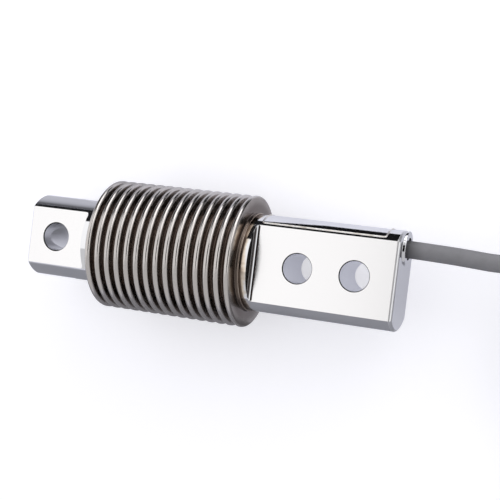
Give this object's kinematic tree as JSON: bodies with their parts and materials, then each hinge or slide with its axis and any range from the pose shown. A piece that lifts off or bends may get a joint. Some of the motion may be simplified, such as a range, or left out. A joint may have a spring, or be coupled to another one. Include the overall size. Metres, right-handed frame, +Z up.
{
  "type": "bending beam load cell",
  "caption": "Bending beam load cell: a steel bar with milled ends, through holes for bolts, a welded metal bellows over the measuring beam, and a cable from the mounting end.",
  "frame": {"origin": "on the ground plane below the middle of the body, which lies on its bellows with the flats level", "axes": "+X along the bar towards the cable, +Y towards the pocket cover, +Z up along the bolt holes and the load"},
  "size_m": [0.278, 0.0489, 0.0378],
  "materials": {
    "polished_steel": "polished stainless steel",
    "bellows_steel": "bright stainless bellows, slightly warm",
    "crimp_metal": "plain metal",
    "seal_rubber": "black rubber",
    "cable_jacket": "grey satin jacket",
    "gauge_film": "amber film",
    "board_laminate": "green laminate",
    "resistor_body": "black body",
    "lead_enamel": "enamelled wire",
    "core_red": "red insulation",
    "core_black": "black insulation",
    "core_green": "green insulation",
    "core_white": "white insulation",
    "shield_wire": "tinned braid",
    "tie_plastic": "black tie"
  },
  "bodies": {
    "root": {"spring_element": "polished_steel", "pocket_cover": "polished_steel", "gland_ferrule": "polished_steel", "bellows": "bellows_steel", "crimp_ring": "crimp_metal", "gland_seal": "seal_rubber", "cable_lead": "cable_jacket", "cable_hank": "cable_jacket", "cable_tail": "cable_jacket", "strain_gauge_top_load": "gauge_film", "strain_gauge_top_mount": "gauge_film", "strain_gauge_bottom_load": "gauge_film", "strain_gauge_bottom_mount": "gauge_film", "terminal_pad_top": "gauge_film", "terminal_pad_bottom": "gauge_film", "compensation_board": "board_laminate", "zero_resistor": "resistor_body", "span_resistor": "resistor_body", "temperature_resistor": "resistor_body", "input_resistor": "resistor_body", "gauge_lead_top_plus": "lead_enamel", "gauge_lead_top_minus": "lead_enamel", "gauge_lead_bottom_plus": "lead_enamel", "gauge_lead_bottom_minus": "lead_enamel", "inner_core_red": "core_red", "core_end_red": "core_red", "inner_core_black": "core_black", "core_end_black": "core_black", "inner_core_green": "core_green", "core_end_green": "core_green", "inner_core_white": "core_white", "core_end_white": "core_white", "shield_end": "shield_wire", "hank_tie_near": "tie_plastic", "hank_tie_far": "tie_plastic"}
  },
  "joints": []
}
